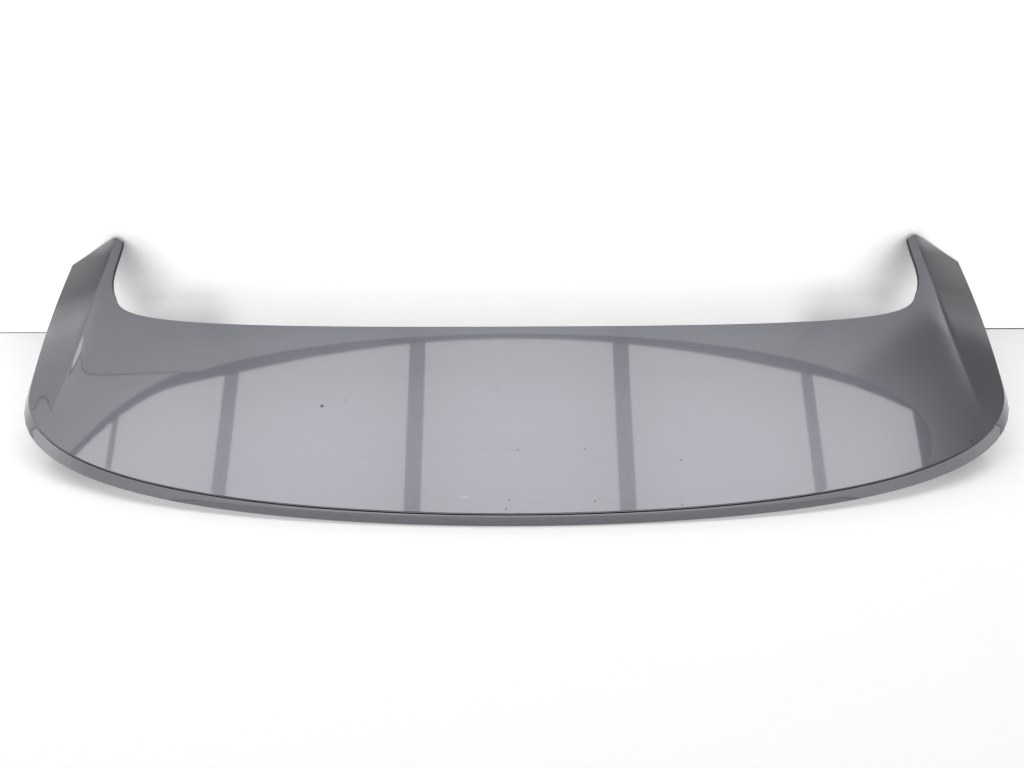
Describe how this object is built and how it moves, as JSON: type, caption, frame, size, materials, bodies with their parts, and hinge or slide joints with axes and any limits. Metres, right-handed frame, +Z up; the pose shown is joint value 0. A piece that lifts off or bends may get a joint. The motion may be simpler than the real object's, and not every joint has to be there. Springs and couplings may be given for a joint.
{
  "type": "rear roof spoiler",
  "caption": "Wide bowed roof spoiler of two bonded skins, with creased side arms round an open bay, a wrap-round lip, edge seal, studs, washers, buffers and clips.",
  "frame": {"origin": "on the floor that the part rests on, under the middle of its overall box", "axes": "+X across to the part's right as seen from behind its trailing edge, +Y from the trailing edge towards the arm tips, +Z up as it rests, upper side up"},
  "size_m": [1.2298, 0.3996, 0.1496],
  "materials": {
    "paint": "dark grey metallic paint under clear gloss lacquer",
    "paint_lower": "dark grey metallic paint, the hidden faces thinly covered",
    "edge_rubber": "matte black rubber",
    "foam": "matte black closed-cell foam",
    "plated_steel": "zinc plated steel",
    "nylon": "natural white nylon"
  },
  "bodies": {
    "root": {"upper_skin": "paint", "lower_skin": "paint_lower", "front_edge_seal": "edge_rubber", "foam_strip": "foam", "stud_outer_left": "plated_steel", "stud_inner_left": "plated_steel", "stud_inner_right": "plated_steel", "stud_outer_right": "plated_steel", "stud_arm_left": "plated_steel", "stud_arm_right": "plated_steel", "washer_outer_left": "foam", "washer_inner_left": "foam", "washer_inner_right": "foam", "washer_outer_right": "foam", "washer_arm_left": "foam", "washer_arm_right": "foam", "buffer_left": "edge_rubber", "buffer_right": "edge_rubber", "tip_clip_left": "nylon", "tip_clip_right": "nylon", "clip_seal_left": "foam", "clip_seal_right": "foam"}
  },
  "joints": []
}
